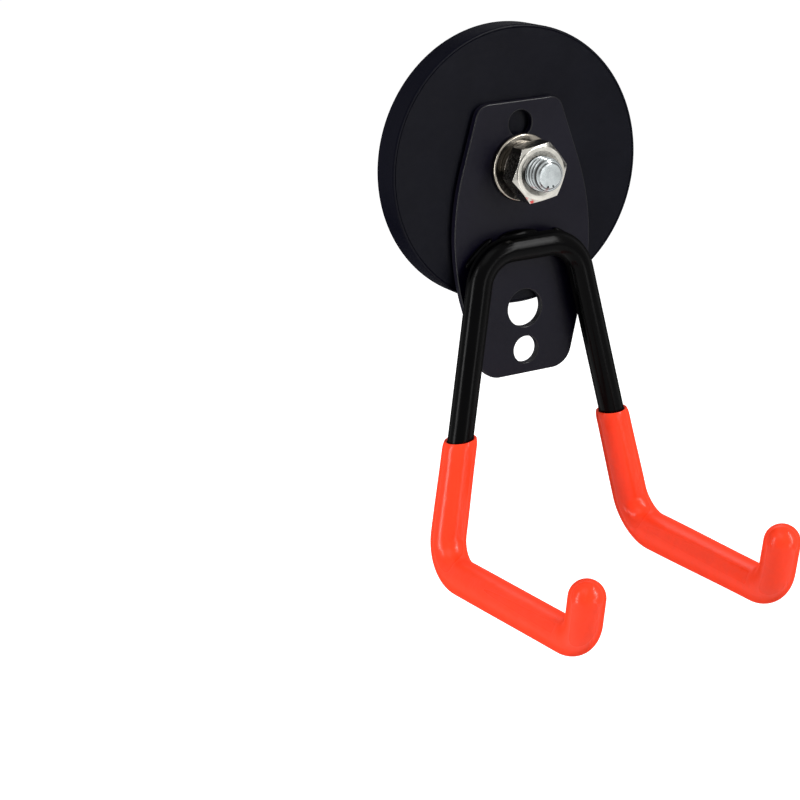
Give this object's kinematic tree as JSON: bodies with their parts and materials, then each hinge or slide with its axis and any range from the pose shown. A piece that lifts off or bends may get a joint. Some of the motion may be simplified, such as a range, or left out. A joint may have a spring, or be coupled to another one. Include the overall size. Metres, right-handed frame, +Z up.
{
  "type": "magnetic hook",
  "caption": "Magnetic tool hook: rubber coated disc magnet with a threaded stud, and a forked wire hook with plastic sleeves on a plate that turns about the stud.",
  "frame": {"origin": "centre of the magnet's contact face, on the stud's axis", "axes": "+Y out of the contact face into the wall, so the hook stands out towards -Y; +Z up, with the arms below the stud; +X to the right as seen from the front"},
  "size_m": [0.066, 0.0803, 0.13],
  "materials": {
    "rubber": "matt moulded rubber",
    "yoke_steel": "bare cut steel",
    "magnet_plating": "bright plating",
    "stud_zinc": "bright zinc plating",
    "black_coat": "black powder coat, fine texture",
    "black_coat_rod": "black coat, satin",
    "black_coat_weld": "black coat over a weld bead",
    "orange_sleeve": "glossy dipped vinyl",
    "washer_nickel": "bright nickel plating",
    "lock_washer_nickel": "bright nickel plating",
    "nut_nickel": "bright nickel plating"
  },
  "bodies": {
    "magnet": {"rubber_coat": "rubber", "yoke_plate": "yoke_steel", "disc_magnet_01": "magnet_plating", "disc_magnet_02": "magnet_plating", "disc_magnet_03": "magnet_plating", "disc_magnet_04": "magnet_plating", "disc_magnet_05": "magnet_plating", "disc_magnet_06": "magnet_plating", "disc_magnet_07": "magnet_plating", "disc_magnet_08": "magnet_plating", "disc_magnet_09": "magnet_plating", "disc_magnet_10": "magnet_plating", "threaded_stud": "stud_zinc"},
    "hook": {"hook_plate": "black_coat", "wire_fork": "black_coat_rod", "crown_weld": "black_coat_weld", "left_weld": "black_coat_weld", "right_weld": "black_coat_weld", "left_sleeve": "orange_sleeve", "right_sleeve": "orange_sleeve", "flat_washer": "washer_nickel"},
    "spring_washer": {"lock_washer": "lock_washer_nickel"},
    "nut": {"hex_nut": "nut_nickel"}
  },
  "joints": [
    {"name": "hook_swivel", "type": "hinge", "parent": "magnet", "child": "hook", "pos_m": [0, 0, 0], "axis": [0, 1, 0], "continuous": true},
    {"name": "washer_slide", "type": "slide", "parent": "magnet", "child": "spring_washer", "axis": [0, -1, 0], "range_m": [0, 0.005]},
    {"name": "nut_turn", "type": "hinge", "parent": "spring_washer", "child": "nut", "pos_m": [0, 0, 0], "axis": [0, -1, 0], "range_deg": [0, 1440]}
  ],
  "couplings": [
    {"joint": "washer_slide", "follows": "nut_turn", "m_per_rad": 0.00019894}
  ]
}
